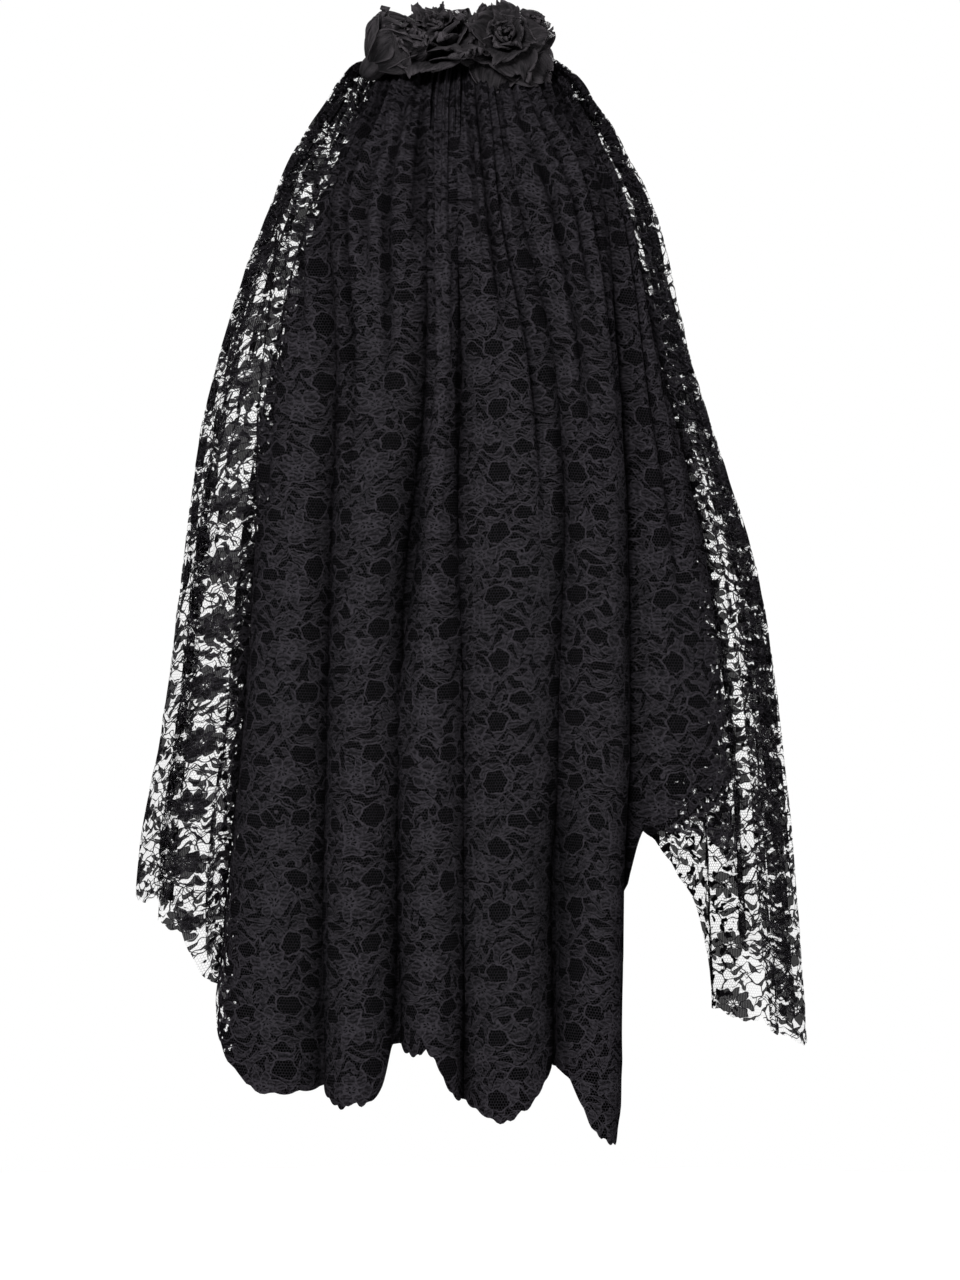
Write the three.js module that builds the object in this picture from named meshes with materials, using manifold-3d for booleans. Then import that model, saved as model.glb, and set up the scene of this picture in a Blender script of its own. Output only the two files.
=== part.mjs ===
// Lace veil: one sheet of black floral lace gathered on a plain headband,
// falling all round in tubes of folds, with three cloth roses over the gathers.
// Millimetres, +Z up. The front faces -Y, and +X is the viewer's right.
// The origin is at the crown, under the middle of the headband.
import * as THREE from "three";
import { mergeVertices } from "three/addons/utils/BufferGeometryUtils.js";
import Module from "manifold-3d";

// ---- Driving dimensions ----
const LACE_WALL = 1.3; // thickness of the lace wall
const SAMPLES_PER_TUBE = [0, 0.12, 0.36, 0.64, 0.88]; // places across one tube of a fold
const ROWS_BELOW_CROWN = 12; // rows of the wall from the crown to the hem
const ROW_EASE = 1.5; // above 1 the rows crowd towards the crown
const TUBE_ROUND = 2.2; // how full the tubes between two valleys are

const BAND_WIDTH = 11; // headband, front to back
const BAND_THICK = 3;
const BAND_RADIUS = 75; // inside, over the crown
const BAND_SIDE_DROP = 46; // straight sides below the half circle
const BAND_TUCK = 5; // how far each end leans inwards

const PETAL_WALL = 1.1; // thickness of the roses' cloth
const ROSE_GAP = 0.45; // air between a rose and the lace under it

// ---- The lace's outer form, a row for each height ----
// z: height at the middle; rise: how much higher the row's two ends lie;
// left, right: half widths; front, back: reach; fold: share of the full fold depth
const SECTIONS = [
  { z: 5.2, rise: 8.5, left: 57, right: 50, front: 6, back: 6, fold: 0 },
  { z: 8.5, rise: 4.5, left: 66.5, right: 58.5, front: 12, back: 13, fold: 0.04 },
  { z: 6.5, rise: 4, left: 75, right: 68.5, front: 18, back: 21, fold: 0.07 },
  { z: 0, rise: 0, left: 84.5, right: 83, front: 26, back: 31, fold: 0.1 },
  { z: -15, rise: 0, left: 94, right: 92.5, front: 46, back: 50, fold: 0.17 },
  { z: -29, rise: 0, left: 103, right: 102, front: 63, back: 66, fold: 0.24 },
  { z: -55, rise: 0, left: 116, right: 113, front: 84, back: 85, fold: 0.34 },
  { z: -83, rise: 0, left: 128, right: 127, front: 97, back: 97, fold: 0.43 },
  { z: -137, rise: 0, left: 150, right: 142, front: 110, back: 105, fold: 0.55 },
  { z: -205, rise: 0, left: 168, right: 162, front: 118, back: 110, fold: 0.68 },
  { z: -273, rise: 0, left: 183, right: 184, front: 124, back: 115, fold: 0.8 },
  { z: -355, rise: 0, left: 195, right: 206, front: 132, back: 122, fold: 0.9 },
  { z: -436, rise: 0, left: 206, right: 217, front: 142, back: 129, fold: 1 },
  { z: -518, rise: 0, left: 218, right: 224, front: 149, back: 136, fold: 1 },
  { z: -600, rise: 0, left: 222, right: 229, front: 153, back: 142, fold: 1 },
  { z: -680, rise: 0, left: 223, right: 233, front: 156, back: 148, fold: 1 },
  { z: -760, rise: 0, left: 224, right: 235, front: 158, back: 152, fold: 1 },
];

// ---- The valleys between the tubes ----
// Front valleys run through x at six heights, and the others stay at a
// bearing in degrees, from the front round by the right. depth: fold depth
// of the valley; hem: height of the cut edge at the valley
const VALLEY_HEIGHTS = [-20, -100, -205, -300, -420, -700];
const VALLEYS = [
  { name: "F", x: [-84, -131, -141, -148, -156, -184], depth: 20, hem: -613 },
  { name: "A", x: [-64, -93, -88, -91.5, -95, -98.6], depth: 24, hem: -678 },
  { name: "B", x: [-22, -23.5, -25, -33, -43, -45.6], depth: 26, hem: -648 },
  { name: "C", x: [-3, -3, -1.5, -2.5, 1, 2], depth: 22, hem: -684 },
  { name: "D", x: [26, 42, 66, 72.5, 68, 64.6], depth: 26, hem: -662 },
  { name: "E", x: [70, 104, 113, 117.5, 118, 115], depth: 28, hem: -552 },
  { name: "R1", bearing: 63, depth: 24, hem: -585 },
  { name: "R2", bearing: 81, depth: 18, hem: -640 },
  { name: "R3", bearing: 103, depth: 18, hem: -652 },
  { name: "R4", bearing: 125, depth: 24, hem: -640 },
  { name: "K1", bearing: 145, depth: 24, hem: -515 },
  { name: "K2", bearing: 164, depth: 26, hem: -662 },
  { name: "K3", bearing: 183, depth: 24, hem: -655 },
  { name: "K4", bearing: 201, depth: 26, hem: -660 },
  { name: "K5", bearing: 219, depth: 24, hem: -648 },
  { name: "K6", bearing: 239, depth: 24, hem: -588 },
  { name: "L1", bearing: 260, depth: 18, hem: -562 },
  { name: "L2", bearing: 282, depth: 14, hem: -552 },
];

// ---- The hem between the valleys ----
// after: the valley it follows; share: how far across the tube; hem: height
const HEM = [
  { after: "F", share: 0.25, hem: -643 },
  { after: "F", share: 0.6, hem: -674 },
  { after: "A", share: 0.5, hem: -684 },
  { after: "A", share: 0.85, hem: -676 },
  { after: "B", share: 0.55, hem: -652 },
  { after: "C", share: 0.45, hem: -692 },
  { after: "D", share: 0.4, hem: -701 },
  { after: "D", share: 0.6, hem: -711 },
  { after: "D", share: 0.78, hem: -707 },
  { after: "D", share: 0.9, hem: -678 },
  { after: "E", share: 0.12, hem: -503 },
  { after: "E", share: 0.55, hem: -519 },
  { after: "R1", share: 0.5, hem: -622 },
  { after: "R2", share: 0.5, hem: -656 },
  { after: "R4", share: 0.5, hem: -560 },
  { after: "K1", share: 0.5, hem: -630 },
  { after: "K5", share: 0.5, hem: -622 },
  { after: "K6", share: 0.6, hem: -574 },
  { after: "L1", share: 0.5, hem: -556 },
  { after: "L2", share: 0.55, hem: -560 },
];

// ---- The roses ----
// at: middle of the flower's base; face: the way that it opens; size: scale
const ROSES = {
  rose_left: { at: [-56, -25, 7], face: [0.56, -0.14, 0.82], size: 1.3, turn: 20, open: 0.42 },
  rose_centre: { at: [-15, -18, 15], face: [-0.04, -0.5, 0.86], size: 1.12, turn: 75, open: 0.6 },
  rose_right: { at: [28, -18, 20], face: [0.04, -0.92, 0.38], size: 1.15, turn: 140, open: 1 },
};
// ring: petals in rings from the heart out; lean0, lean1: lean from the flower's
// axis at the petal's foot and at its edge; foot: distance of the foot from the axis
const PETAL_RINGS = [
  { petals: 3, length: 20, half: 11, foot: 2.4, lean0: 26, lean1: 44, wrap: 11, lift: 4 },
  { petals: 5, length: 26, half: 14.5, foot: 2.8, lean0: 60, lean1: 96, wrap: 22, lift: 1 },
];
const PETAL_ACROSS = 3;
const PETAL_ALONG = 2;
const BUD_RADIUS = 5.5;
const BUD_HEIGHT = 19;
const CALYX_RADIUS = 6.5;
const CALYX_DEPTH = 7;

const radians = (degrees) => (degrees * Math.PI) / 180;

// Smooth curve through table rows: Catmull-Rom in one coordinate.
function through(keys, values, at) {
  const rising = keys[1] > keys[0];
  const last = keys.length - 1;
  const before = (a, b) => (rising ? a <= b : a >= b);
  if (before(at, keys[0])) return values[0];
  if (!before(at, keys[last])) return values[last];
  let i = 0;
  while (i < last - 1 && !before(at, keys[i + 1])) i++;
  const span = keys[i + 1] - keys[i];
  const t = (at - keys[i]) / span;
  const slope = (k) => {
    if (k === 0) return (values[1] - values[0]) / (keys[1] - keys[0]);
    if (k === last) return (values[last] - values[last - 1]) / (keys[last] - keys[last - 1]);
    const a = (values[k] - values[k - 1]) / (keys[k] - keys[k - 1]);
    const b = (values[k + 1] - values[k]) / (keys[k + 1] - keys[k]);
    return a * b <= 0 ? 0 : (2 * a * b) / (a + b);
  };
  const m0 = slope(i) * span;
  const m1 = slope(i + 1) * span;
  const t2 = t * t;
  const t3 = t2 * t;
  return (
    (2 * t3 - 3 * t2 + 1) * values[i] +
    (t3 - 2 * t2 + t) * m0 +
    (-2 * t3 + 3 * t2) * values[i + 1] +
    (t3 - t2) * m1
  );
}

const CAP_ROWS = 3; // rows of SECTIONS above the crown's row
const column = (name) => SECTIONS.map((row) => row[name]);
const COLUMNS = Object.fromEntries(
  ["z", "rise", "left", "right", "front", "back", "fold"].map((n) => [n, column(n)]),
);
// Each section has a drop: its row number above the crown, its depth below it.
const DROPS = SECTIONS.map((row, i) => (i < CAP_ROWS ? (i - CAP_ROWS) * 5 : -row.z));

function sectionAt(drop) {
  const row = {};
  for (const name in COLUMNS) row[name] = through(DROPS, COLUMNS[name], drop);
  return row;
}

// Bearing of a valley at a height, radians from the front round by the right.
function valleyBearing(valley, section) {
  if (valley.x === undefined) return radians(valley.bearing);
  const x = through(VALLEY_HEIGHTS, valley.x, Math.min(section.z, -20));
  // above the first height the valley keeps its share of the half width
  const row = section.z > -20 ? sectionAt(20) : section;
  const half = x < 0 ? row.left : row.right;
  return Math.asin(THREE.MathUtils.clamp(x / half, -0.97, 0.97));
}

// A point of the lace's outer face. place: valley number plus share across
// the tube after it; drop: depth below the crown, or below 0 on the cap.
function lacePoint(place, drop) {
  const section = sectionAt(drop);
  const count = VALLEYS.length;
  const k = Math.floor(place) % count;
  const s = place - Math.floor(place);
  const here = VALLEYS[k];
  const next = VALLEYS[(k + 1) % count];
  const b0 = valleyBearing(here, section);
  let b1 = valleyBearing(next, section);
  if (b1 < b0) b1 += 2 * Math.PI;
  const bearing = b0 + (b1 - b0) * s;
  const half = Math.sin(bearing) < 0 ? section.left : section.right;
  const reach = Math.cos(bearing) < 0 ? section.back : section.front;
  const sin = Math.sin(bearing);
  const cos = Math.cos(bearing);
  const round = Math.sqrt(1 - Math.pow(Math.abs(2 * s - 1), TUBE_ROUND));
  const depth = THREE.MathUtils.lerp(here.depth, next.depth, s) * section.fold;
  const normal = new THREE.Vector2(sin / half, -cos / reach).normalize();
  const inward = depth * (1 - round);
  return new THREE.Vector3(
    half * sin - normal.x * inward,
    -reach * cos - normal.y * inward,
    section.z + section.rise * sin * sin,
  );
}

const HEM_ROWS = [
  ...VALLEYS.map((valley, i) => ({ place: i, hem: valley.hem })),
  ...HEM.map((row) => ({
    place: VALLEYS.findIndex((valley) => valley.name === row.after) + row.share,
    hem: row.hem,
  })),
  { place: VALLEYS.length, hem: VALLEYS[0].hem },
].sort((a, b) => a.place - b.place);
const hemAt = (place) =>
  through(
    HEM_ROWS.map((row) => row.place),
    HEM_ROWS.map((row) => row.hem),
    place,
  );

// Closed wall between an outer grid of rows and its copy set inwards.
function laceWall() {
  const places = VALLEYS.flatMap((_, k) => SAMPLES_PER_TUBE.map((s) => k + s));
  const across = places.length;
  const drops = [];
  for (let i = 0; i < CAP_ROWS; i++) drops.push(() => DROPS[i]);
  for (let i = 0; i <= ROWS_BELOW_CROWN; i++) {
    const share = Math.pow(i / ROWS_BELOW_CROWN, ROW_EASE);
    drops.push((place) => -hemAt(place) * share);
  }
  const rows = drops.length;
  const outer = drops.map((drop) => places.map((place) => lacePoint(place, drop(place))));
  const faceNormals = [];
  const at = (i, j) => outer[i][(j + across) % across];
  for (let i = 0; i < rows - 1; i++)
    for (let j = 0; j < across; j++) {
      const normal = new THREE.Vector3()
        .subVectors(at(i + 1, j), at(i, j + 1))
        .cross(new THREE.Vector3().subVectors(at(i + 1, j + 1), at(i, j)));
      faceNormals.push(normal.normalize());
    }
  const face = (i, j) => faceNormals[i * across + ((j + across) % across)];
  const inner = outer.map((row, i) =>
    row.map((point, j) => {
      const near = [];
      for (const fi of [i - 1, i])
        for (const fj of [j - 1, j]) if (fi >= 0 && fi < rows - 1) near.push(face(fi, fj));
      const mean = near.reduce((sum, n) => sum.add(n), new THREE.Vector3());
      mean.normalize();
      const least = Math.min(...near.map((n) => n.dot(mean)));
      const reach = LACE_WALL / Math.max(least, 0.62);
      return point.clone().addScaledVector(mean, -reach);
    }),
  );
  // the gathered ridge is level across, so the inner row hangs straight down
  inner[0] = outer[0].map((point) => point.clone().add(new THREE.Vector3(0, 0, -LACE_WALL)));
  const points = [...outer.flat(), ...inner.flat()];
  const faces = [];
  const index = (layer, i, j) => layer * rows * across + i * across + ((j + across) % across);
  for (let i = 0; i < rows - 1; i++)
    for (let j = 0; j < across; j++) {
      const [a, b, c, d] = [
        index(0, i, j),
        index(0, i, j + 1),
        index(0, i + 1, j + 1),
        index(0, i + 1, j),
      ];
      faces.push([a, d, c], [a, c, b]);
      const [e, f, g, h] = [a, b, c, d].map((v) => v + rows * across);
      faces.push([e, g, h], [e, f, g]);
    }
  for (let j = 0; j < across; j++) {
    // hem edge
    const [a, b] = [index(0, rows - 1, j), index(0, rows - 1, j + 1)];
    const [c, d] = [index(1, rows - 1, j), index(1, rows - 1, j + 1)];
    faces.push([a, c, d], [a, d, b]);
  }
  // the ridge's strip closes the top
  const topOuter = points.length;
  points.push(new THREE.Vector3(0, 0, SECTIONS[0].z));
  points.push(new THREE.Vector3(0, 0, SECTIONS[0].z - LACE_WALL));
  for (let j = 0; j < across; j++) {
    faces.push([topOuter, index(0, 0, j), index(0, 0, j + 1)]);
    faces.push([topOuter + 1, index(1, 0, j + 1), index(1, 0, j)]);
  }
  return geometryOf(points, faces);
}

function geometryOf(points, faces) {
  const geometry = new THREE.BufferGeometry();
  geometry.setAttribute(
    "position",
    new THREE.Float32BufferAttribute(
      points.flatMap((p) => [p.x, p.y, p.z]),
      3,
    ),
  );
  geometry.setIndex(faces.flat());
  return geometry;
}

// ---- Booleans ----
const wasm = await Module();
wasm.setup();

function solidOf(geometry) {
  let plain = geometry.clone();
  for (const name of Object.keys(plain.attributes))
    if (name !== "position") plain.deleteAttribute(name);
  plain = mergeVertices(plain, 1e-4);
  return new wasm.Manifold(
    new wasm.Mesh({
      numProp: 3,
      vertProperties: new Float32Array(plain.attributes.position.array),
      triVerts: new Uint32Array(plain.index.array),
    }),
  );
}

function geometryFrom(solid) {
  const mesh = solid.getMesh();
  const geometry = new THREE.BufferGeometry();
  const positions = new Float32Array(mesh.numVert * 3);
  for (let i = 0; i < mesh.numVert; i++)
    positions.set(mesh.vertProperties.subarray(i * mesh.numProp, i * mesh.numProp + 3), i * 3);
  geometry.setAttribute("position", new THREE.BufferAttribute(positions, 3));
  geometry.setIndex(new THREE.BufferAttribute(new Uint32Array(mesh.triVerts), 1));
  geometry.computeVertexNormals();
  return geometry;
}

// ---- Headband: a rounded strip swept from ear to ear over the crown ----
class BandLine extends THREE.Curve {
  getPoint(t, target = new THREE.Vector3()) {
    const r = BAND_RADIUS + BAND_THICK / 2;
    const arc = Math.PI * r;
    const whole = arc + 2 * BAND_SIDE_DROP;
    const along = t * whole;
    const side = along < BAND_SIDE_DROP ? -1 : along > BAND_SIDE_DROP + arc ? 1 : 0;
    if (side === 0) {
      const angle = (along - BAND_SIDE_DROP) / r;
      return target.set(-r * Math.cos(angle), 0, -BAND_RADIUS + r * Math.sin(angle));
    }
    const down = side < 0 ? BAND_SIDE_DROP - along : along - BAND_SIDE_DROP - arc;
    const lean = BAND_TUCK * Math.pow(down / BAND_SIDE_DROP, 2);
    return target.set(side * (r - lean), 0, -BAND_RADIUS - down);
  }
}

function headband() {
  const shape = new THREE.Shape();
  const w = BAND_WIDTH / 2;
  const t = BAND_THICK / 2;
  const corner = 1.1;
  // a flat strip with bevelled edges: width along x, thickness along y
  const outline = [
    [-w, -t + corner],
    [-w + corner, -t],
    [w - corner, -t],
    [w, -t + corner],
    [w, t - corner],
    [w - corner, t],
    [-w + corner, t],
    [-w, t - corner],
  ];
  shape.setFromPoints(outline.map(([x, y]) => new THREE.Vector2(x, y)));
  return new THREE.ExtrudeGeometry(shape, {
    steps: 28,
    bevelEnabled: false,
    extrudePath: new BandLine(),
  });
}

// ---- One petal: a curved, cupped wall with a rounded, slightly rolled edge ----
function petal(ring, bearing, seed, grow) {
  const mid = [];
  for (let i = 0; i <= PETAL_ALONG; i++) {
    const t = i / PETAL_ALONG;
    const row = [];
    let r = ring.foot;
    let h = ring.lift;
    const steps = 12;
    for (let n = 0; n < steps; n++) {
      const tt = ((n + 0.5) / steps) * t;
      const lean = radians(ring.lean0 + (ring.lean1 - ring.lean0) * tt * tt);
      r += ((Math.sin(lean) * (ring.length + grow)) / steps) * t;
      h += ((Math.cos(lean) * (ring.length + grow)) / steps) * t;
    }
    const wide = 0.3 + 0.7 * Math.sin(Math.min(1, t / 0.62) * (Math.PI / 2));
    const tip = t > 0.62 ? Math.sqrt(Math.max(0.16, 1 - Math.pow((t - 0.62) / 0.44, 2))) : 1;
    const half = ring.half * wide * tip + grow;
    for (let j = 0; j <= PETAL_ACROSS; j++) {
      const s = (j / PETAL_ACROSS) * 2 - 1;
      const rho = ring.wrap + r * 0.35;
      const psi = (s * half) / rho;
      const wave = t * t * (1.1 * Math.sin(5 * s + seed * 2.4) + 0.8 * Math.sin(9 * s + seed));
      const side = rho * Math.sin(psi);
      const out = r - rho * (1 - Math.cos(psi)) * 0.9;
      const up = h + wave + 1.6 * t * Math.cos(s * 1.5 + seed);
      row.push(new THREE.Vector3(out, side, up));
    }
    mid.push(row);
  }
  const rows = PETAL_ALONG + 1;
  const across = PETAL_ACROSS + 1;
  const get = (i, j) =>
    mid[THREE.MathUtils.clamp(i, 0, rows - 1)][THREE.MathUtils.clamp(j, 0, across - 1)];
  const points = [];
  for (const sign of [1, -1])
    for (let i = 0; i < rows; i++)
      for (let j = 0; j < across; j++) {
        const normal = new THREE.Vector3()
          .subVectors(get(i + 1, j), get(i - 1, j))
          .cross(new THREE.Vector3().subVectors(get(i, j + 1), get(i, j - 1)))
          .normalize();
        points.push(get(i, j).clone().addScaledVector(normal, sign * (PETAL_WALL / 2 + grow)));
      }
  const faces = [];
  const id = (layer, i, j) => layer * rows * across + i * across + j;
  for (let i = 0; i < rows - 1; i++)
    for (let j = 0; j < across - 1; j++) {
      const quad = (l) => [id(l, i, j), id(l, i + 1, j), id(l, i + 1, j + 1), id(l, i, j + 1)];
      const [a, b, c, d] = quad(0);
      faces.push([a, b, c], [a, c, d]);
      const [e, f, g, h] = quad(1);
      faces.push([e, g, f], [e, h, g]);
    }
  const rim = [];
  for (let j = 0; j < across - 1; j++) rim.push([0, j]);
  for (let i = 0; i < rows - 1; i++) rim.push([i, across - 1]);
  for (let j = across - 1; j > 0; j--) rim.push([rows - 1, j]);
  for (let i = rows - 1; i > 0; i--) rim.push([i, 0]);
  rim.forEach(([i, j], n) => {
    const [i2, j2] = rim[(n + 1) % rim.length];
    const [a, b] = [id(0, i, j), id(0, i2, j2)];
    const [c, d] = [id(1, i, j), id(1, i2, j2)];
    faces.push([a, b, d], [a, d, c]);
  });
  const geometry = geometryOf(points, faces);
  geometry.rotateZ(bearing);
  return geometry;
}

// ---- One rose: a bud and its calyx in one turned solid, and rings of petals ----
function rose({ at, face, size, turn, open }, seed, grow = 0) {
  const profile = [
    [0, -CALYX_DEPTH - grow],
    [CALYX_RADIUS * 0.55 + grow, -CALYX_DEPTH * 0.8 - grow],
    [CALYX_RADIUS + grow, 0],
    [BUD_RADIUS + grow, BUD_HEIGHT * 0.6],
    [BUD_RADIUS * 0.75 + grow, BUD_HEIGHT * 0.92 + grow],
    [0, BUD_HEIGHT + grow],
  ].map(([x, y]) => new THREE.Vector2(x, y));
  const bud = new THREE.LatheGeometry(profile, 8);
  bud.rotateX(Math.PI / 2);
  let solid = solidOf(bud);
  PETAL_RINGS.forEach((ring, n) => {
    const opened = { ...ring, lean0: ring.lean0 * open, lean1: ring.lean1 * open };
    for (let p = 0; p < ring.petals; p++) {
      const bearing = radians(turn + n * 37 + (p * 360) / ring.petals);
      solid = solid.add(solidOf(petal(opened, bearing, seed + p * 1.7 + n, grow)));
    }
  });
  const geometry = geometryFrom(solid);
  const way = new THREE.Vector3(...face).normalize();
  geometry.scale(size, size, size);
  geometry.applyQuaternion(
    new THREE.Quaternion().setFromUnitVectors(new THREE.Vector3(0, 0, 1), way),
  );
  geometry.translate(...at);
  return geometry;
}

// The lace's outer form, filled and grown a little, which the roses rest on.
function laceBody() {
  const places = VALLEYS.flatMap((_, k) => SAMPLES_PER_TUBE.map((s) => k + s));
  const across = places.length;
  const drops = [...DROPS.slice(0, CAP_ROWS), 0, 14, 30, 55, 90];
  const points = [];
  for (const drop of drops)
    for (const place of places) {
      const point = lacePoint(place, drop);
      const out = new THREE.Vector3(point.x / 90, point.y / 40, 1).normalize();
      points.push(point.addScaledVector(out, ROSE_GAP * 1.6));
    }
  const faces = [];
  const id = (i, j) => i * across + ((j + across) % across);
  for (let i = 0; i < drops.length - 1; i++)
    for (let j = 0; j < across; j++)
      faces.push([id(i, j), id(i + 1, j), id(i + 1, j + 1)], [id(i, j), id(i + 1, j + 1), id(i, j + 1)]);
  const top = points.length;
  points.push(new THREE.Vector3(0, 0, SECTIONS[0].z + ROSE_GAP * 1.6));
  points.push(new THREE.Vector3(0, 0, -90));
  for (let j = 0; j < across; j++) {
    faces.push([top, id(0, j), id(0, j + 1)]);
    faces.push([top + 1, id(drops.length - 1, j + 1), id(drops.length - 1, j)]);
  }
  return solidOf(geometryOf(points, faces));
}

// ---- Materials ----
const lace = new THREE.MeshStandardMaterial({ color: 0x17151b, roughness: 0.8, metalness: 0 });
const roseCloth = new THREE.MeshStandardMaterial({ color: 0x1f1d20, roughness: 0.7, metalness: 0 });
const bandCloth = new THREE.MeshStandardMaterial({ color: 0x141316, roughness: 0.6, metalness: 0 });

// ---- Assembly ----
const veilPart = new THREE.Group();
function put(name, geometry, material) {
  const mesh = new THREE.Mesh(geometry, material);
  mesh.name = name;
  veilPart.add(mesh);
  return mesh;
}

put("headband", headband(), bandCloth);
put("veil", laceWall(), lace);

const body = laceBody();
let taken = body;
Object.entries(ROSES).forEach(([name, how], i) => {
  const cut = solidOf(rose(how, i + 1)).subtract(taken);
  const whole = cut.decompose().sort((a, b) => b.volume() - a.volume())[0];
  put(name, geometryFrom(whole), roseCloth);
  // the next rose keeps clear of this one
  taken = taken.add(solidOf(rose(how, i + 1, ROSE_GAP)));
});

export default veilPart;
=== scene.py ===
import math

import bpy
import numpy as np
from mathutils import Matrix, Quaternion, Vector


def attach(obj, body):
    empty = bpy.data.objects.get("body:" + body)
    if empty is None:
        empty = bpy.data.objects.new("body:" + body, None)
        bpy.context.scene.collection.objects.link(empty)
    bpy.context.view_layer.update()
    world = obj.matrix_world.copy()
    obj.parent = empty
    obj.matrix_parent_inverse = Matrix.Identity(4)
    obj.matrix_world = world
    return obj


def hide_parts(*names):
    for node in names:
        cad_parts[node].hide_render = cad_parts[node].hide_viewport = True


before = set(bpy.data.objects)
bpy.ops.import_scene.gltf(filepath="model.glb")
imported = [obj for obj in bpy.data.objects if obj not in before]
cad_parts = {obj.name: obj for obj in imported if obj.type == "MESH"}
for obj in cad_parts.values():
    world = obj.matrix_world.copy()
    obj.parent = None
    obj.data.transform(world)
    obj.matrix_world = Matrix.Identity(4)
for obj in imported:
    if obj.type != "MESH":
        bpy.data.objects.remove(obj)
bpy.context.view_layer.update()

MM = 0.001

# ---------------------------------------------------------------------------
# Camera: level, in front of the veil, the whole veil and the roses in view
# ---------------------------------------------------------------------------
SCALE = 0.68  # millimetres of the object's mid plane per pixel of the 960 x 1280 frame
CAM_DISTANCE = 3.3
cam_data = bpy.data.cameras.new("camera")
cam_data.sensor_fit = "VERTICAL"
cam_data.sensor_height = 36.0
cam_data.lens = 36.0 * CAM_DISTANCE / (1280 * SCALE * MM)
cam_data.clip_end = 50
cam = bpy.data.objects.new("camera", cam_data)
cam.location = (0.0122, -CAM_DISTANCE, -0.382)
cam.rotation_euler = (math.radians(90), 0, 0)
bpy.context.scene.collection.objects.link(cam)
bpy.context.scene.camera = cam

# ---------------------------------------------------------------------------
# The veil's form: the same tables as the solid's, in millimetres
# ---------------------------------------------------------------------------
SECTION_NAMES = ("z", "rise", "left", "right", "front", "back", "fold")
SECTIONS = [
    (5.2, 8.5, 57, 50, 6, 6, 0),
    (8.5, 4.5, 66.5, 58.5, 12, 13, 0.04),
    (6.5, 4, 75, 68.5, 18, 21, 0.07),
    (0, 0, 84.5, 83, 26, 31, 0.1),
    (-15, 0, 94, 92.5, 46, 50, 0.17),
    (-29, 0, 103, 102, 63, 66, 0.24),
    (-55, 0, 116, 113, 84, 85, 0.34),
    (-83, 0, 128, 127, 97, 97, 0.43),
    (-137, 0, 150, 142, 110, 105, 0.55),
    (-205, 0, 168, 162, 118, 110, 0.68),
    (-273, 0, 183, 184, 124, 115, 0.8),
    (-355, 0, 195, 206, 132, 122, 0.9),
    (-436, 0, 206, 217, 142, 129, 1),
    (-518, 0, 218, 224, 149, 136, 1),
    (-600, 0, 222, 229, 153, 142, 1),
    (-680, 0, 223, 233, 156, 148, 1),
    (-760, 0, 224, 235, 158, 152, 1),
]
VALLEY_HEIGHTS = (-20, -100, -205, -300, -420, -700)
# name, x at the six heights or a bearing in degrees, depth, height of the hem
VALLEYS = [
    ("F", (-84, -131, -141, -148, -156, -184), 20, -613),
    ("A", (-64, -93, -88, -91.5, -95, -98.6), 24, -678),
    ("B", (-22, -23.5, -25, -33, -43, -45.6), 26, -648),
    ("C", (-3, -3, -1.5, -2.5, 1, 2), 22, -684),
    ("D", (26, 42, 66, 72.5, 68, 64.6), 26, -662),
    ("E", (70, 104, 113, 117.5, 118, 115), 28, -552),
    ("R1", 63, 24, -585),
    ("R2", 81, 18, -640),
    ("R3", 103, 18, -652),
    ("R4", 125, 24, -640),
    ("K1", 145, 24, -515),
    ("K2", 164, 26, -662),
    ("K3", 183, 24, -655),
    ("K4", 201, 26, -660),
    ("K5", 219, 24, -648),
    ("K6", 239, 24, -588),
    ("L1", 260, 18, -562),
    ("L2", 282, 14, -552),
]
# the hem between the valleys: after which valley, share across the tube, height
HEM = [
    ("F", 0.25, -643),
    ("F", 0.6, -674),
    ("A", 0.5, -684),
    ("A", 0.85, -676),
    ("B", 0.55, -652),
    ("C", 0.45, -692),
    ("D", 0.4, -700),
    ("D", 0.58, -710),
    ("D", 0.75, -708),
    ("D", 0.87, -692),
    ("D", 0.95, -652),
    ("E", 0.12, -503),
    ("E", 0.55, -519),
    ("R1", 0.5, -622),
    ("R2", 0.5, -656),
    ("R4", 0.5, -560),
    ("K1", 0.5, -630),
    ("K5", 0.5, -622),
    ("K6", 0.6, -574),
    ("L1", 0.5, -556),
    ("L2", 0.55, -560),
]
TUBE_ROUND = 2.2
VALLEY_SOFT = 0.28  # the cloth turns in the valleys instead of creasing
CAP_ROWS = 3
N = len(VALLEYS)
DROPS = np.array([(i - CAP_ROWS) * 5.0 if i < CAP_ROWS else -row[0] for i, row in enumerate(SECTIONS)])
COLUMNS = {n: np.array([row[k] for row in SECTIONS], float) for k, n in enumerate(SECTION_NAMES)}


def through(keys, values, at):
    """Smooth curve through table rows, with no overshoot."""
    keys, values, at = np.asarray(keys, float), np.asarray(values, float), np.asarray(at, float)
    if keys[0] > keys[-1]:
        keys, at = -keys, -at
    d = np.diff(values) / np.diff(keys)
    m = np.empty_like(values)
    m[0], m[-1] = d[0], d[-1]
    a, b = d[:-1], d[1:]
    both = a + b
    m[1:-1] = np.where(a * b <= 0, 0.0, 2 * a * b / np.where(both == 0, 1, both))
    x = np.clip(at, keys[0], keys[-1])
    i = np.clip(np.searchsorted(keys, x, side="left") - 1, 0, len(keys) - 2)
    span = keys[i + 1] - keys[i]
    t = (x - keys[i]) / span
    t2, t3 = t * t, t * t * t
    return (
        (2 * t3 - 3 * t2 + 1) * values[i]
        + (t3 - 2 * t2 + t) * m[i] * span
        + (-2 * t3 + 3 * t2) * values[i + 1]
        + (t3 - t2) * m[i + 1] * span
    )


def smooth(a, b, x):
    t = np.clip((np.asarray(x, float) - a) / (b - a), 0, 1)
    return t * t * (3 - 2 * t)


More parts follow.
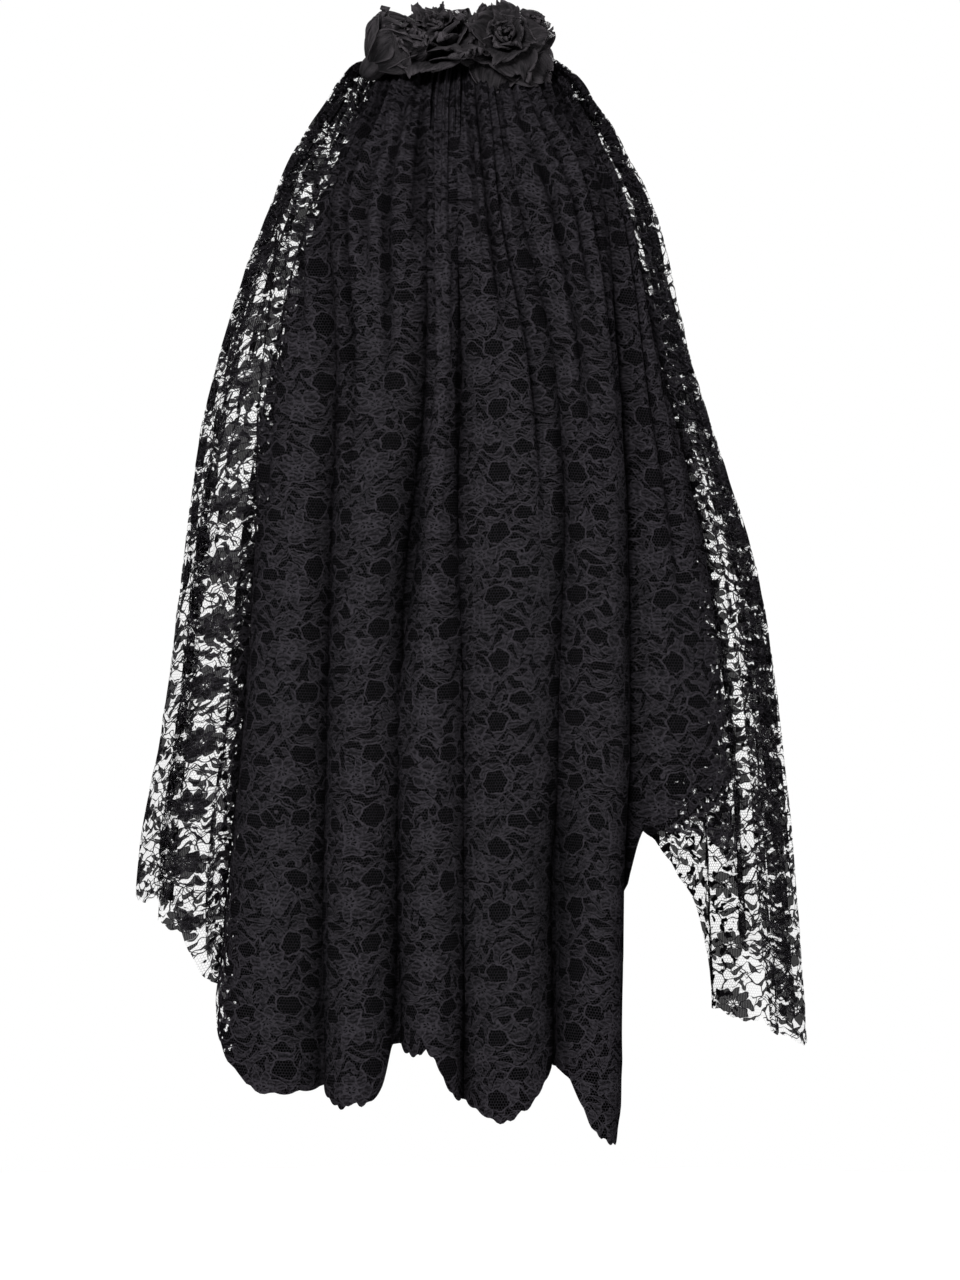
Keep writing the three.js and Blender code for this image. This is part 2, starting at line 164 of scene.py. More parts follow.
def sections(drop):
    return {n: through(DROPS, COLUMNS[n], drop) for n in SECTION_NAMES}


def valley_bearing(k, sec):
    where = VALLEYS[k][1]
    if not isinstance(where, tuple):
        return np.full_like(sec["z"], math.radians(where))
    x = through(VALLEY_HEIGHTS, where, np.minimum(sec["z"], -20))
    row = sections(np.array([20.0]))
    left = np.where(sec["z"] > -20, row["left"], sec["left"])
    right = np.where(sec["z"] > -20, row["right"], sec["right"])
    return np.arcsin(np.clip(x / np.where(x < 0, left, right), -0.97, 0.97))


def value_noise(x, y, seed):
    """Smooth noise from -1 to 1 over arrays, the same each run."""
    def lattice(i, j):
        h = np.sin(i * 127.1 + j * 311.7 + seed * 74.7) * 43758.5453
        return (h - np.floor(h)) * 2 - 1
    i, j = np.floor(x), np.floor(y)
    u, v = x - i, y - j
    u, v = u * u * (3 - 2 * u), v * v * (3 - 2 * v)
    a = lattice(i, j) * (1 - u) + lattice(i + 1, j) * u
    b = lattice(i, j + 1) * (1 - u) + lattice(i + 1, j + 1) * u
    return a * (1 - v) + b * v


def ring_noise(place, y, per_ring, seed):
    """The same, closing on itself round the ring of the valleys."""
    x = np.mod(place, N) / N * per_ring
    def lattice(i, j):
        h = np.sin(np.mod(i, per_ring) * 127.1 + j * 311.7 + seed * 74.7) * 43758.5453
        return (h - np.floor(h)) * 2 - 1
    i, j = np.floor(x), np.floor(y)
    u, v = x - i, y - j
    u, v = u * u * (3 - 2 * u), v * v * (3 - 2 * v)
    a = lattice(i, j) * (1 - u) + lattice(i + 1, j) * u
    b = lattice(i, j + 1) * (1 - u) + lattice(i + 1, j + 1) * u
    return a * (1 - v) + b * v


def lace_points(place, drop):
    """Points of the lace with its main tubes only. Also the bearing."""
    sec = sections(drop)
    k = np.floor(place).astype(int) % N
    s = place - np.floor(place)
    b0, b1 = np.zeros_like(drop), np.zeros_like(drop)
    d0, d1 = np.zeros_like(drop), np.zeros_like(drop)
    for n in range(N):
        on = k == n
        if not on.any():
            continue
        part = {name: v[on] for name, v in sec.items()}
        b0[on] = valley_bearing(n, part)
        b1[on] = valley_bearing((n + 1) % N, part)
        d0[on], d1[on] = VALLEYS[n][2], VALLEYS[(n + 1) % N][2]
    b1 = np.where(b1 < b0, b1 + 2 * math.pi, b1)
    bearing = b0 + (b1 - b0) * s
    sin, cos = np.sin(bearing), np.cos(bearing)
    half = np.where(sin < 0, sec["left"], sec["right"])
    reach = np.where(cos < 0, sec["back"], sec["front"])
    open_ = np.abs(2 * s - 1)
    round_ = np.clip(1 - open_**TUBE_ROUND, 0, 1) ** 0.5 * (1 - VALLEY_SOFT) + VALLEY_SOFT * (1 - smooth(0.15, 1, open_))
    depth = (d0 + (d1 - d0) * s) * sec["fold"]
    nx, ny = sin / half, -cos / reach
    size = np.hypot(nx, ny)
    nx, ny = nx / size, ny / size
    inward = depth * (1 - round_)
    return (
        np.stack([half * sin - nx * inward, -reach * cos - ny * inward, sec["z"] + sec["rise"] * sin * sin], -1),
        np.stack([half * sin, -reach * cos, sec["z"] + sec["rise"] * sin * sin], -1),
        bearing,
    )


HEM_ROWS = sorted(
    [(float(i), v[3]) for i, v in enumerate(VALLEYS)]
    + [([v[0] for v in VALLEYS].index(a) + s, h) for a, s, h in HEM]
    + [(float(N), VALLEYS[0][3])]
)


def hem_at(place):
    return through([r[0] for r in HEM_ROWS], [r[1] for r in HEM_ROWS], np.mod(place, N))


# Creases between the main valleys: place in tubes, half width in tubes,
# depth in millimetres, and the drops between which they run.
CREASES = [
    (0.35, 0.07, 6, 10, 330),
    (0.68, 0.06, 7, 5, 240),
    (1.22, 0.05, 8, 5, 300),
    (1.42, 0.045, 7, 5, 190),
    (1.66, 0.05, 9, 5, 260),
    (1.86, 0.04, 7, 5, 150),
    (2.16, 0.07, 7, 10, 260),
    (3.25, 0.05, 7, 5, 170),
    (3.48, 0.05, 8, 5, 230),
    (3.74, 0.05, 8, 5, 330),
    (4.28, 0.05, 8, 5, 300),
    (4.55, 0.05, 8, 5, 210),
    (4.8, 0.045, 7, 5, 260),
    (5.4, 0.06, 7, 10, 420),
    (5.75, 0.06, 7, 10, 300),
    (6.5, 0.07, 6, 10, 600),
    (7.5, 0.07, 6, 10, 600),
    (8.45, 0.07, 7, 10, 500),
    (9.5, 0.06, 8, 10, 420),
    (10.5, 0.06, 8, 10, 500),
    (11.45, 0.06, 8, 10, 380),
    (12.5, 0.06, 8, 10, 520),
    (13.5, 0.06, 8, 10, 420),
    (14.5, 0.06, 8, 10, 480),
    (15.5, 0.06, 7, 10, 400),
    (16.5, 0.08, 5, 10, 420),
    (17.4, 0.08, 5, 10, 300),
]


def hem_scallops(place):
    """The cut edge follows the motifs: uneven scallops with small teeth, in millimetres of drop."""
    big = np.abs(np.sin(math.pi * (2 * place + 0.18 * ring_noise(place, np.full_like(place, 0.3), 27, 41)))) ** 0.65
    small = np.abs(np.sin(math.pi * (7 * place + 0.3 * ring_noise(place, np.full_like(place, 1.7), 54, 43)))) ** 0.8
    wild = ring_noise(place, np.full_like(place, 2.2), 90, 47)
    return 6.0 * big - 3.5 + 2.4 * small - 1.2 + 1.8 * wild


def unit(v):
    return v / np.maximum(np.linalg.norm(v, axis=-1, keepdims=True), 1e-9)


def veil_grid(per_tube, rows_below):
    """The whole lace: points, flat cloth coordinates, and where the valleys are."""
    # samples across a tube, closer together towards its valleys
    s = np.linspace(0, 1, per_tube + 1)
    s = s + 0.085 * np.sin(2 * math.pi * s) * -1
    place = np.concatenate([k + s[:-1] for k in range(N)] + [[float(N)]])
    cap = np.linspace(-15, 0, 9)[:-1]
    share = np.linspace(0, 1, rows_below + 1) ** 1.25
    hem = -hem_at(place) + hem_scallops(place)
    drop = np.concatenate([np.repeat(cap[:, None], len(place), 1), share[:, None] * hem[None, :]])
    P = np.repeat(place[None, :], drop.shape[0], 0)
    pts, base, bearing = lace_points(P, drop)
    return P, drop, pts, base, share, len(cap)


def periodic_normals(pts):
    """Outward normals of a grid whose last column repeats its first."""
    du = np.empty_like(pts)
    du[:, 1:-1] = pts[:, 2:] - pts[:, :-2]
    du[:, 0] = du[:, -1] = pts[:, 1] - pts[:, -2]
    dv = np.gradient(pts, axis=0)
    return unit(np.cross(dv, du))


PER_TUBE = 44
ROWS = 236
P, DROP, pts, base, SHARE, CAP = veil_grid(PER_TUBE, ROWS)

# outward normals of the lace, along which the gathers and creases below are laid
normals = periodic_normals(pts)

# gathers under the roses, which fade down the veil
fade = 1 - smooth(20, 230, DROP)
near = smooth(-15, -4, DROP)
wob = ring_noise(P, DROP / 90.0, 36, 3) * 0.55
gather = (
    1.25 * np.cos(2 * math.pi * (7 * P + wob * 0.8)) * (1 - smooth(10, 110, DROP)) * (0.35 + 0.65 * near)
    + 1.9 * np.cos(2 * math.pi * (3 * P + wob)) * fade * near
)
crease = np.zeros_like(DROP)
for at, half, depth, top, bottom in CREASES:
    wander = at + 0.05 * ring_noise(P, DROP / 120.0, 18, 5 + at)
    away = np.abs(np.mod(P - wander + N / 2, N) - N / 2)
    run = smooth(top - 12, top + 25, DROP) * (1 - smooth(bottom - 120, bottom, DROP))
    crease -= 1.3 * depth * run * np.exp(-((away / half) ** 2)) * (0.35 + 0.65 * smooth(0, 120, DROP))
# slow unevenness of the tubes, and the lace's own puckers
slow = 3.2 * ring_noise(P, DROP / 110.0, 27, 11) * smooth(30, 200, DROP)
pucker = 0.55 * ring_noise(P, DROP / 14.0, 198, 17) * smooth(0, 60, DROP)
# the crown is drawn tight over its two sides
tight = 4.0 * smooth(44, 66, np.abs(base[..., 0])) * (1 - smooth(18, 62, DROP))
pts = pts + normals * (gather + crease + slow + pucker - tight)[..., None]

# side sway, so that the tubes aren't ruled lines
sway = 2.6 * ring_noise(P, DROP / 150.0, 18, 23) * smooth(60, 300, DROP)
tangent = unit(np.cross(np.array([0.0, 0, 1.0]), normals))
pts = pts + tangent * sway[..., None]
pts[:, -1] = pts[:, 0]

# how far each place lies down in a fold, for painted shade: the threads are darkened the deeper the cloth lies in a
# fold
around = periodic_normals(base)
sunk = ((base - pts) * around).sum(-1) / (25.0 * sections(DROP)["fold"] + 3.0)
PAINTED_FOLD_SHADE = 1 - 0.66 * smooth(0.1, 0.9, sunk)

# the ridge: front and back are drawn together in a puckered seam over the band
x0 = pts[0, :, 0]
ridge_z = 10.6 + 3.4 * (x0 / np.where(x0 < 0, 57.0, 50.0)) ** 2
ridge_z = ridge_z + 0.7 * value_noise(x0 / 2.6, np.zeros_like(x0), 61)
seam = np.stack([x0 * 0.99, np.zeros_like(x0), ridge_z], -1)
RIDGE = [0.0, 0.3, 0.58, 0.82]
closing = np.stack([seam + (pts[0] - seam) * np.array([t, t, t**2.2]) for t in RIDGE])
pts = np.concatenate([closing, pts])
flat_ridge = np.stack([seam + (base[0] - seam) * t for t in RIDGE])
base = np.concatenate([flat_ridge, base])
PAINTED_FOLD_SHADE = np.concatenate([np.repeat(PAINTED_FOLD_SHADE[:1], len(RIDGE), 0), PAINTED_FOLD_SHADE])

# ---------------------------------------------------------------------------
# Flat cloth coordinates: across each tube from its crest, down from the ridge
# ---------------------------------------------------------------------------
step_u = np.linalg.norm(np.diff(pts[..., :2], axis=1), axis=-1)
arc = np.concatenate([np.zeros((pts.shape[0], 1)), np.cumsum(step_u, axis=1)], axis=1)
crest_cols = [k * PER_TUBE + PER_TUBE // 2 for k in range(N)]
full_row = np.array([np.ptp(arc[:, k * PER_TUBE : (k + 1) * PER_TUBE + 1], axis=1).max() for k in range(N)])
starts = np.concatenate([[0], np.cumsum(full_row)])
CLOTH_W = float(starts[-1])
step_v = np.linalg.norm(np.diff(base, axis=0), axis=-1)
down = np.concatenate([np.zeros((1, base.shape[1])), np.cumsum(step_v, axis=0)], axis=0)
CLOTH_L = float(down.max())


def mesh_object(name, verts, faces, uvs=None, smooth_shade=True):
    me = bpy.data.meshes.new(name)
    me.from_pydata([tuple(v) for v in verts], [], [tuple(f) for f in faces])
    me.validate()
    if uvs is not None:
        layer = me.uv_layers.new(name="OFBake")
        flat = np.asarray(uvs, np.float32).reshape(-1)
        layer.data.foreach_set("uv", flat)
    if smooth_shade:
        me.polygons.foreach_set("use_smooth", [True] * len(me.polygons))
    me.update()
    ob = bpy.data.objects.new(name, me)
    bpy.context.scene.collection.objects.link(ob)
    return ob


# ---------------------------------------------------------------------------
# Node materials, written as sums
# ---------------------------------------------------------------------------
class Graph:
    """Builds math nodes from plain formulas."""

    def __init__(self, name):
        self.mat = bpy.data.materials.new(name)
        self.mat.use_nodes = True
        self.tree = self.mat.node_tree
        self.tree.nodes.clear()
        self.out = self.tree.nodes.new("ShaderNodeOutputMaterial")
        self.bsdf = self.tree.nodes.new("ShaderNodeBsdfPrincipled")
        self.tree.links.new(self.bsdf.outputs["BSDF"], self.out.inputs["Surface"])

    def put(self, socket, value):
        if isinstance(value, Val):
            self.tree.links.new(value.socket, socket)
        elif isinstance(value, bpy.types.NodeSocket):
            self.tree.links.new(value, socket)
        else:
            socket.default_value = value

    def math(self, kind, *args):
        node = self.tree.nodes.new("ShaderNodeMath")
        node.operation = kind
        for i, a in enumerate(args):
            self.put(node.inputs[i], a)
        return Val(self, node.outputs[0])

    def ramp(self, lo, hi, a, to0, to1):
        node = self.tree.nodes.new("ShaderNodeMapRange")
        node.interpolation_type = "SMOOTHSTEP"
        node.clamp = True
        for name, v in (("Value", a), ("From Min", lo), ("From Max", hi), ("To Min", to0), ("To Max", to1)):
            self.put(node.inputs[name], v)
        return Val(self, node.outputs[0])

    # the words that the patterns are written in
    def floor(self, a): return self.math("FLOOR", a)
    def sin(self, a): return self.math("SINE", a)
    def cos(self, a): return self.math("COSINE", a)
    def sqrt(self, a): return self.math("SQRT", a)
    def abs(self, a): return self.math("ABSOLUTE", a)
    def min(self, a, b): return self.math("MINIMUM", a, b)
    def max(self, a, b): return self.math("MAXIMUM", a, b)
    def atan2(self, a, b): return self.math("ARCTAN2", a, b)
    def mod(self, a, b): return self.math("FLOORED_MODULO", a, b)
    def less(self, a, b): return self.math("LESS_THAN", a, b)
    def step(self, lo, hi, a): return self.ramp(lo, hi, a, 0.0, 1.0)
    def fall(self, lo, hi, a): return self.ramp(lo, hi, a, 1.0, 0.0)
    def line(self, d, half, soft=0.18): return self.ramp(half - soft, half + soft, self.abs(d), 1.0, 0.0)

    def uv(self, wide, long):
        node = self.tree.nodes.new("ShaderNodeUVMap")
        node.uv_map = "OFBake"
        part = self.tree.nodes.new("ShaderNodeSeparateXYZ")
        self.tree.links.new(node.outputs[0], part.inputs[0])
        return Val(self, part.outputs[0]) * wide, Val(self, part.outputs[1]) * long

    def vector(self, x, y, z=0.0):
        node = self.tree.nodes.new("ShaderNodeCombineXYZ")
        for i, v in enumerate((x, y, z)):
            self.put(node.inputs[i], v)
        return node.outputs[0]

    def place(self):
        node = self.tree.nodes.new("ShaderNodeTexCoord")
        return node.outputs["Object"]

    def noise(self, vector, scale, detail=0.0, dims="2D", rough=0.5):
        node = self.tree.nodes.new("ShaderNodeTexNoise")
        node.noise_dimensions = dims
        self.put(node.inputs["Vector"], vector)
        node.inputs["Scale"].default_value = scale
        node.inputs["Detail"].default_value = detail
        node.inputs["Roughness"].default_value = rough
        return node

    def channels(self, noise):
        part = self.tree.nodes.new("ShaderNodeSeparateColor")
        self.tree.links.new(noise.outputs["Color"], part.inputs[0])
        return [Val(self, s) for s in part.outputs]

    def colour(self, factor, a, b):
        node = self.tree.nodes.new("ShaderNodeMix")
        node.data_type = "RGBA"
        self.put(node.inputs[0], factor)
        for i, v in ((6, a), (7, b)):
            if isinstance(v, tuple):
                node.inputs[i].default_value = (*v, 1)
            else:
                self.put(node.inputs[i], v)
        return node.outputs[2]

    def bump(self, height, distance, strength=1.0):
        node = self.tree.nodes.new("ShaderNodeBump")
        node.inputs["Distance"].default_value = distance
        node.inputs["Strength"].default_value = strength
        self.put(node.inputs["Height"], height)
        self.tree.links.new(node.outputs[0], self.bsdf.inputs["Normal"])


class Val:
    def __init__(self, graph, socket):
        self.graph, self.socket = graph, socket

    def __add__(self, o): return self.graph.math("ADD", self, o)
    def __radd__(self, o): return self.graph.math("ADD", o, self)
    def __sub__(self, o): return self.graph.math("SUBTRACT", self, o)
    def __rsub__(self, o): return self.graph.math("SUBTRACT", o, self)
    def __mul__(self, o): return self.graph.math("MULTIPLY", self, o)
    def __rmul__(self, o): return self.graph.math("MULTIPLY", o, self)
    def __truediv__(self, o):
        if isinstance(o, Val):
            return self.graph.math("DIVIDE", self, o)
        return self.graph.math("MULTIPLY", self, 1.0 / o)


def lattice(g, x, y, wide, high):
    """Place within a repeat whose every other column is dropped by half."""
    c = g.floor(x / wide)
    xl = x - c * wide - wide / 2
    ys = y + g.mod(c, 2.0) * (high / 2)
    yl = ys - g.floor(ys / high) * high - high / 2
    return xl, yl


def lace_pattern(g, x, y, n1, n2, n3, thin=0.0):
    """The lace's charted repeat, in millimetres of cloth: 46 by 41, half dropped."""
    wide, high = 46.0, 41.0
    x = x + (n1 - 0.5) * 7.0 + g.sin(y * 0.93 + x * 0.31) * 0.5
    y = y + (n2 - 0.5) * 6.0 + g.sin(x * 0.83 - y * 0.27) * 0.55
    xl, yl = lattice(g, x, y, wide, high)
    # flower: seven ribbed petals round a pierced heart
    fx = xl / 1.38
    rad = g.sqrt(fx * fx + yl * yl)
    sector = 2 * math.pi / 7
    a = g.mod(g.atan2(yl, fx) + 0.55 + (n3 - 0.5) * 1.4, sector) - sector / 2
    px = (rad * g.cos(a) - 6.9) / 3.7
    py = rad * g.sin(a) / 2.75
    pd = g.sqrt(px * px + py * py) + g.sin(g.atan2(py, px) * 7.0) * 0.04
    petal = g.fall(0.9, 1.0, pd)
    petal_edge = g.line(pd - 0.98, 0.13, 0.07)
    heart_ring = g.line(rad + g.cos(a * 7.0) * 0.5 - 2.7, 0.42, 0.25)
    spoke = g.line(rad * g.sin(a), 0.34, 0.2) * g.less(rad, 3.4)
    beyond = g.step(10.4, 11.0, rad)  # outside the flower
    # round openings of plain net, ringed by cords: two to a repeat
    ax, ay = lattice(g, x - 13.5, y + 14.0, wide, high)
    r1 = g.sqrt(ax * ax + ay * ay * 1.25)
    bx, by = lattice(g, x + 17.0, y + 8.0, wide, high)
    r2 = g.sqrt(bx * bx * 0.7 + by * by * 1.35)
    closed = g.min(g.step(7.3, 7.7, r1), g.step(5.3, 5.7, r2))
    ring = g.max(g.line(r1 - 7.8, 0.5, 0.25), g.line(r2 - 5.8, 0.45, 0.25))
    # scalloped ribbons and leaves that swing from opening to opening
    lobe = g.abs(g.sin(x * (math.pi / 23.0) + (n2 - 0.5) * 2.4 + 0.6))
    s = (y - lobe * 6.5 + g.sin(x * (2 * math.pi / 11.5) + y * 0.1) * 0.9 + (n3 - 0.5) * 10.0) / 6.8333
    row = g.floor(s)
    f = s - row
    width = 0.45 + 0.42 * g.sin(x * (2 * math.pi / 15.3333) + row * 2.3 + (n1 - 0.5) * 6.0) - thin * 0.3
    ribbon = g.step(0.0, 0.06, f) * g.step(-0.02, 0.05, width - f)
    ribbon_edge = g.max(g.fall(0.07, 0.14, f), g.line(f - width, 0.065, 0.035))
    # chevron cords
    v = g.mod(y + g.abs(g.mod(x, 23.0) - 11.5) * 0.85, 20.5)
    cords = g.max(g.line(v - 3.0, 0.38, 0.2), g.line(v - 5.2, 0.34, 0.2))
    ground = beyond * closed
    fill = g.max(petal, ribbon * ground)
    edge = g.max(
        g.max(petal_edge * (1.0 - beyond), g.max(heart_ring, spoke)),
        g.max(ring * beyond, g.max(ribbon_edge, cords) * ground),
    )
    return fill, edge


def hex_net(g, x, y, cell, thread):
    px, py = x / cell, y * (0.9 / cell)
    q = 1.7320508
    ax, ay = g.mod(px, 1.0) - 0.5, g.mod(py, q) - q / 2
    bx, by = g.mod(px - 0.5, 1.0) - 0.5, g.mod(py - q / 2, q) - q / 2
    use = g.less(ax * ax + ay * ay, bx * bx + by * by)
    gx = g.abs(bx + (ax - bx) * use)
    gy = g.abs(by + (ay - by) * use)
    return g.step(0.5 - thread - 0.04, 0.5 - thread, g.max(gx, gx * 0.5 + gy * 0.8660254))


PANEL_W = 470.0  # millimetres of cloth across the map of one panel


def lace_material():
    g = Graph("lace")
    x, y = g.uv(PANEL_W, CLOTH_L)
    cloth = g.vector(x, y)
    n1, n2, n3 = g.channels(g.noise(cloth, 1 / 24.0, 0.0))
    # the ground opens over the sides and stays closed in the middle of front and back
    part = g.tree.nodes.new("ShaderNodeSeparateXYZ")
    g.tree.links.new(g.place(), part.inputs[0])
    px, py, pz = (Val(g, s) for s in part.outputs)
    half = 0.231 - 0.15 * g.math("EXPONENT", pz * 4.8)
    side = g.step(0.7, 0.93, g.max(px, px * -1.13) * g.math("DIVIDE", 1.0, half))
    side = g.max(side, g.step(-0.4, -0.54, pz) * g.step(0.116, 0.15, px) * 0.62)
    # the lace opens hole by hole towards the sides
    holes = Val(g, g.noise(cloth, 0.17, 1.0).outputs["Fac"])
    cover = g.step(-0.03, 0.03, holes - side * 0.8 - 0.1)
    fill, edge = lace_pattern(g, x, y, n1, n2, n3, side)
    net = hex_net(g, x, y, 1.9, 0.09)
    # threads: fine ribs in the motifs, and the twist and unevenness of the yarn
    rib = g.sin(x * (2 * math.pi / 1.15)) * 0.5 + 0.5
    yarn = Val(g, g.noise(cloth, 0.62, 1.0).outputs["Fac"])
    # the threads of the motifs lie in small curls
    curl = Val(g, g.noise(cloth, 0.11, 1.0).outputs["Fac"])
    curl = g.sin(curl * 17.0 + y * 2.1) * 0.5 + 0.5
    sheer = rib * 0.1 + 0.9
    alpha = g.max(g.max(fill * sheer, edge), g.max(net * (1.0 - side * 0.8), cover))
    lit = g.max(g.max(fill * (1.0 - edge) * (curl * 0.6 + 0.16), edge), net * 0.45)
    # painted shade: the fold attribute darkens the threads' colour deep in the folds
    fold = g.tree.nodes.new("ShaderNodeAttribute")
    fold.attribute_name = "painted_fold_shade"
    lit = lit * (yarn * 1.7 + 0.1) * (1.0 - side * 0.5) * Val(g, fold.outputs["Fac"])
    tone = g.colour(lit, (0.0001, 0.0001, 0.0001), (0.006, 0.0055, 0.0065))
    g.put(g.bsdf.inputs["Base Color"], tone)
    g.put(g.bsdf.inputs["Alpha"], alpha)
    g.bsdf.inputs["Roughness"].default_value = 0.8
    g.bsdf.inputs["Specular IOR Level"].default_value = 0.0
    return g.mat


LACE = lace_material()

# ---------------------------------------------------------------------------
# The lace: one cloth, modelled in panels that meet in the valleys
# ---------------------------------------------------------------------------
PANELS = [
    ("veil_front_left", 0, 3),
    ("veil_front_right", 3, 5),
    ("veil_right", 5, 9),
    ("veil_back_right", 9, 12),
    ("veil_back_left", 12, 15),
    ("veil_left", 15, 18),
]


veil_pieces = []
for name, first, last in PANELS:
    c0, c1 = first * PER_TUBE, last * PER_TUBE
    block = pts[:, c0 : c1 + 1] * MM
    rows, cols = block.shape[:2]
    uv = np.zeros((rows, cols, 2))
    faces, corner_uv = [], []
    idx = np.arange(rows * cols).reshape(rows, cols)
    u_start = starts[first]
    for k in range(first, last):
        a, b = k * PER_TUBE, (k + 1) * PER_TUBE
        crest = (a + b) // 2
        u = starts[k] - u_start + full_row[k] / 2 + (arc[:, a : b + 1] - arc[:, crest : crest + 1])
        u = u / PANEL_W
        v = down[:, a : b + 1] / CLOTH_L
        ia = idx[:, a - c0 : b - c0 + 1]
        q = np.stack([ia[:-1, :-1], ia[1:, :-1], ia[1:, 1:], ia[:-1, 1:]], -1).reshape(-1, 4)
        uu = np.stack([u[:-1, :-1], u[1:, :-1], u[1:, 1:], u[:-1, 1:]], -1).reshape(-1, 4)
        vv = np.stack([v[:-1, :-1], v[1:, :-1], v[1:, 1:], v[:-1, 1:]], -1).reshape(-1, 4)
        faces.append(q)
        corner_uv.append(np.stack([uu, vv], -1))
    faces = np.concatenate(faces)
    corner_uv = np.concatenate(corner_uv)
    ob = mesh_object(name, block.reshape(-1, 3), faces, corner_uv)
    ob.data.materials.append(LACE)
    # painted shade of the folds, stored on each panel's points
    tone = ob.data.attributes.new("painted_fold_shade", "FLOAT", "POINT")
    tone.data.foreach_set("value", PAINTED_FOLD_SHADE[:, c0 : c1 + 1].reshape(-1).astype(np.float32))
    hem_long = float(down[-1, c0 : c1 + 1].max())
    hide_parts("veil")
    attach(ob, "root")
    veil_pieces.append(ob)

# ---------------------------------------------------------------------------
# Headband: cloth wound over a stiff core
# ---------------------------------------------------------------------------
def band_material():
    g = Graph("band_cloth")
    x, y = g.uv(330.0, 32.0)
    wrap = g.sin((x + y * 0.55) * (2 * math.pi / 7.0))
    weave = g.sin(x * (2 * math.pi / 0.55)) * g.sin(y * (2 * math.pi / 0.55))
    fold = g.step(-1.0, -0.8, wrap)
    tone = g.colour(fold * (weave * 0.25 + 0.75), (0.0006, 0.0006, 0.0007), (0.006, 0.0055, 0.0066))
    g.put(g.bsdf.inputs["Base Color"], tone)
    g.bsdf.inputs["Roughness"].default_value = 0.55
    g.bsdf.inputs["Specular IOR Level"].default_value = 0.08
    g.bump(fold * 0.7 + weave * 0.15, 0.0004)
    return g.mat


BAND_WIDTH, BAND_THICK, BAND_RADIUS, BAND_SIDE_DROP, BAND_TUCK = 11.0, 3.0, 75.0, 46.0, 5.0


def band():
    r = BAND_RADIUS + BAND_THICK / 2
    arc_len = math.pi * r
    whole = arc_len + 2 * BAND_SIDE_DROP
    steps, around = 220, 28
    verts, uvs = [], []
    for i in range(steps + 1):
        t = i / steps
        along = t * whole
        if along < BAND_SIDE_DROP or along > BAND_SIDE_DROP + arc_len:
            side = -1 if along < BAND_SIDE_DROP else 1
            dn = BAND_SIDE_DROP - along if side < 0 else along - BAND_SIDE_DROP - arc_len
            lean = BAND_TUCK * (dn / BAND_SIDE_DROP) ** 2
            p = np.array([side * (r - lean), 0, -BAND_RADIUS - dn])
            sl = 2 * BAND_TUCK * dn / BAND_SIDE_DROP**2
            nrm = unit(np.array([side * 1.0, 0, -sl]))
        else:
            ang = (along - BAND_SIDE_DROP) / r
            nrm = np.array([-math.cos(ang), 0, math.sin(ang)])
            p = np.array([-r * math.cos(ang), 0, -BAND_RADIUS + r * math.sin(ang)])
        end = min(along, whole - along)
        shrink = math.sqrt(max(0.0, 1 - (1 - min(1.0, end / 5.0)) ** 2))
        shrink = max(shrink, 0.02)
        for j in range(around):
            q = 2 * math.pi * j / around
            cw = np.sign(math.cos(q)) * abs(math.cos(q)) ** 0.55 * BAND_WIDTH / 2 * shrink
            ct = np.sign(math.sin(q)) * abs(math.sin(q)) ** 0.75 * BAND_THICK / 2 * (0.35 + 0.65 * shrink)
            verts.append(p + nrm * ct + np.array([0, cw, 0]))
    faces, cuv = [], []
    for i in range(steps):
        for j in range(around):
            j2 = (j + 1) % around
            faces.append((i * around + j, (i + 1) * around + j, (i + 1) * around + j2, i * around + j2))
            u0, u1 = i / steps, (i + 1) / steps
            v0, v1 = j / around, (j + 1) / around
            cuv.append(((u0, v0), (u1, v0), (u1, v1), (u0, v1)))
    verts.append(np.mean(verts[:around], axis=0))
    verts.append(np.mean(verts[steps * around : (steps + 1) * around], axis=0))
    lo, hi = len(verts) - 2, len(verts) - 1
    for j in range(around):
        j2 = (j + 1) % around
        faces.append((lo, j, j2))
        faces.append((hi, steps * around + j2, steps * around + j))
        cuv += [((0, 0), (0.001, 0), (0, 0.001)), ((1, 1), (0.999, 1), (1, 0.999))]
    me = bpy.data.meshes.new("headband_cloth")
    me.from_pydata([tuple(v * MM) for v in verts], [], faces)
    layer = me.uv_layers.new(name="OFBake")
    flat = [c for f in cuv for p in f for c in p]
    layer.data.foreach_set("uv", flat)
    me.polygons.foreach_set("use_smooth", [True] * len(me.polygons))
    me.update()
    ob = bpy.data.objects.new("headband_cloth", me)
    bpy.context.scene.collection.objects.link(ob)
    return ob


band_ob = band()
band_ob.data.materials.append(band_material())
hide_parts("headband")
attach(band_ob, "root")

# ---------------------------------------------------------------------------
# Roses: rings of thin cupped petals with frayed, waved edges
# ---------------------------------------------------------------------------
def rose_material():
    g = Graph("rose_cloth")
    u, v = g.uv(1.0, 1.0)
    place = g.place()
    # each petal's own half of the map is crossed by its weave and its veins
    weave = g.sin(u * 240.0) * g.sin(v * 240.0)
    vein = Val(g, g.noise(g.vector(u * 26.0, v * 3.0), 1.0, 2.0).outputs["Fac"])
    mott = Val(g, g.noise(place, 140.0, 2.0, "3D").outputs["Fac"])
    # rim: the petals' edges are lighter, partly their lighter frayed threads and partly a painted highlight where
    # light catches them
    rim = g.max(g.step(0.86, 1.0, v), g.step(0.4, 0.5, g.abs(u - 0.5)))
    # foot: painted shade, the petals darker towards their feet between the other petals
    foot = g.step(0.0, 0.5, v)
    lit = (mott * 0.5 + vein * 0.75 + weave * 0.04 - 0.3) * (foot * 0.85 + 0.15) + rim * 0.45
    tone = g.colour(lit, (0.0002, 0.0002, 0.0003), (0.0118, 0.0105, 0.0117))
    g.put(g.bsdf.inputs["Base Color"], tone)
    g.bsdf.inputs["Roughness"].default_value = 0.7
    g.bsdf.inputs["Specular IOR Level"].default_value = 0.03
    g.bump(vein * 0.9 + weave * 0.12 + mott * 0.6, 0.0012, 1.0)
    return g.mat


ROSE = rose_material()

